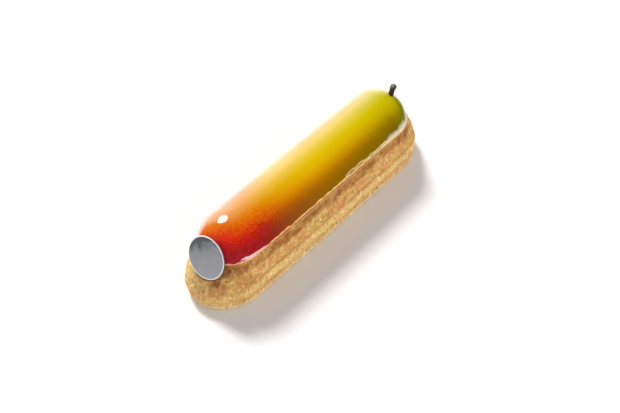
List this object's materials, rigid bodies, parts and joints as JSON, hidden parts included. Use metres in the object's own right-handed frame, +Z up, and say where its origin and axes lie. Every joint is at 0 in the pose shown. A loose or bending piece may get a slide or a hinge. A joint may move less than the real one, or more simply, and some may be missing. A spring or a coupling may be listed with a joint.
{
  "type": "eclair",
  "caption": "Glazed eclair: a long piped choux base with a glossy half-round dome that shades from red to yellow to green, a short stalk at one end and a thin round plaque at the other.",
  "frame": {"origin": "on the surface that the eclair lies on, under the middle of its outline", "axes": "+X along the eclair from the plaque end to the stalk end, +Z up"},
  "size_m": [0.14, 0.0358, 0.0417],
  "materials": {
    "choux_crust": "baked golden choux crust, matte, with brown freckles, small pits and shallow piping ridges",
    "mirror_glaze": "wet-looking mirror glaze, sprayed red at one end through orange and yellow to green at the other",
    "stalk_brown": "dry dark brown stalk with a paler cut tip",
    "plaque_grey": "satin silver-grey face with a thin white edge, bare"
  },
  "bodies": {
    "root": {"choux": "choux_crust", "glaze_dome": "mirror_glaze", "stalk": "stalk_brown", "plaque": "plaque_grey"}
  },
  "joints": []
}
